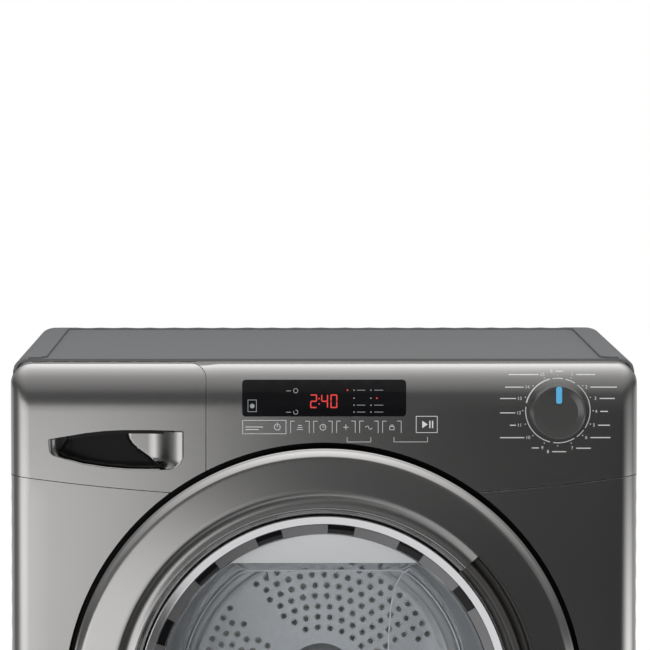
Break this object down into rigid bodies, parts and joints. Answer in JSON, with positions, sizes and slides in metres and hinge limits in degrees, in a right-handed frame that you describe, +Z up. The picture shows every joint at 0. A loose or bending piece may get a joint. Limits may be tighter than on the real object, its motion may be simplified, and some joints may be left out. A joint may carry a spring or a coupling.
{
  "type": "clothes dryer",
  "caption": "Free-standing front-loading tumble dryer with a round glazed door, a rotary selector, a display, a pull-out water container and a heat-pump drive.",
  "frame": {"origin": "on the floor, below the middle of the dryer's outer box", "axes": "+X to the right of someone facing the door, +Y from the door to the rear, +Z up"},
  "size_m": [0.596, 0.5852, 0.85],
  "materials": {
    "graphite_panel": "satin metallic",
    "graphite_plastic": "satin metallic",
    "worktop_grey": "fine grain",
    "zinc_steel": "zinc coated",
    "drum_steel": "stainless",
    "black_gloss": "gloss",
    "black_plastic": "matt",
    "grey_plastic": "matt",
    "light_plastic": "matt",
    "circuit_green": "solder mask",
    "rubber_black": "matt",
    "seal_grey": "matt",
    "felt": "felt",
    "clear_glass": "clear",
    "bright_steel": "plated",
    "alu": "mill",
    "copper": "drawn",
    "motor_grey": "painted"
  },
  "bodies": {
    "cabinet": {"base_tray": "grey_plastic", "levelling_feet": "black_plastic", "left_side_panel": "graphite_panel", "right_side_panel": "graphite_panel", "rear_panel": "zinc_steel", "rear_duct_cover": "zinc_steel", "front_panel": "graphite_panel", "plinth_panel": "graphite_panel", "worktop_frame": "worktop_grey", "worktop_board": "worktop_grey", "control_fascia": "graphite_plastic", "control_housing": "grey_plastic", "display_window": "black_gloss", "control_board": "circuit_green", "selector_switch": "bright_steel", "container_tray": "grey_plastic", "front_bulkhead": "light_plastic", "front_felt": "felt", "rear_bulkhead": "light_plastic", "rear_felt": "felt", "bearing_housing": "zinc_steel", "roller_pins": "bright_steel", "door_seal": "seal_grey", "door_latch": "black_plastic", "hinge_bracket": "bright_steel", "hinge_pin": "bright_steel", "lint_filter": "light_plastic", "filter_duct": "light_plastic", "drive_belt": "rubber_black", "motor": "motor_grey", "motor_bracket": "zinc_steel", "fan_housing": "grey_plastic", "compressor": "motor_grey", "evaporator_coil": "alu", "condenser_coil": "alu", "refrigerant_pipes": "copper", "drain_pump": "black_plastic", "drain_pipe": "light_plastic", "idler_bracket": "zinc_steel"},
    "drum": {"drum_shell": "drum_steel", "drum_back": "drum_steel", "drum_lifters": "light_plastic", "drum_shaft": "bright_steel"},
    "motor_rotor": {"motor_shaft": "bright_steel", "fan_wheel": "black_plastic"},
    "idler": {"idler_pulley": "black_plastic"},
    "roller_left": {"left_roller": "rubber_black"},
    "roller_right": {"right_roller": "rubber_black"},
    "door": {"door_bezel": "graphite_plastic", "door_rear_frame": "grey_plastic", "door_glass": "clear_glass", "door_handle": "graphite_plastic", "hinge_leaf": "bright_steel", "door_hook": "bright_steel"},
    "water_drawer": {"container_front": "graphite_plastic", "water_container": "light_plastic"},
    "selector": {"selector_knob": "black_gloss"},
    "flap": {"service_flap": "graphite_plastic"}
  },
  "joints": [
    {"name": "drum_spin", "type": "hinge", "parent": "cabinet", "child": "drum", "pos_m": [0, 0, 0.48], "axis": [0, 1, 0], "continuous": true},
    {"name": "motor_spin", "type": "hinge", "parent": "cabinet", "child": "motor_rotor", "pos_m": [0.165, 0, 0.125], "axis": [0, 1, 0], "continuous": true},
    {"name": "idler_spin", "type": "hinge", "parent": "cabinet", "child": "idler", "pos_m": [0.20968, 0, 0.1685], "axis": [0, 1, 0], "continuous": true},
    {"name": "roller_left_spin", "type": "hinge", "parent": "cabinet", "child": "roller_left", "pos_m": [-0.17225, 0, 0.23401], "axis": [0, 1, 0], "continuous": true},
    {"name": "roller_right_spin", "type": "hinge", "parent": "cabinet", "child": "roller_right", "pos_m": [0.17225, 0, 0.23401], "axis": [0, 1, 0], "continuous": true},
    {"name": "door_hinge", "type": "hinge", "parent": "cabinet", "child": "door", "pos_m": [-0.243, -0.2785, 0.526], "axis": [0, 0, 1], "range_deg": [-115, 0]},
    {"name": "water_drawer_slide", "type": "slide", "parent": "cabinet", "child": "water_drawer", "axis": [0, -1, 0], "range_m": [0, 0.4]},
    {"name": "selector_turn", "type": "hinge", "parent": "cabinet", "child": "selector", "pos_m": [0.2216, -0.2725, 0.804], "axis": [0, 1, 0], "continuous": true},
    {"name": "flap_hinge", "type": "hinge", "parent": "cabinet", "child": "flap", "pos_m": [0, -0.2635, 0.05], "axis": [1, 0, 0], "range_deg": [0, 85]}
  ],
  "couplings": [
    {"joint": "motor_spin", "follows": "drum_spin", "ratio": 31.444},
    {"joint": "idler_spin", "follows": "drum_spin", "ratio": -17.812},
    {"joint": "roller_left_spin", "follows": "drum_spin", "ratio": -16.647},
    {"joint": "roller_right_spin", "follows": "drum_spin", "ratio": -16.647}
  ]
}
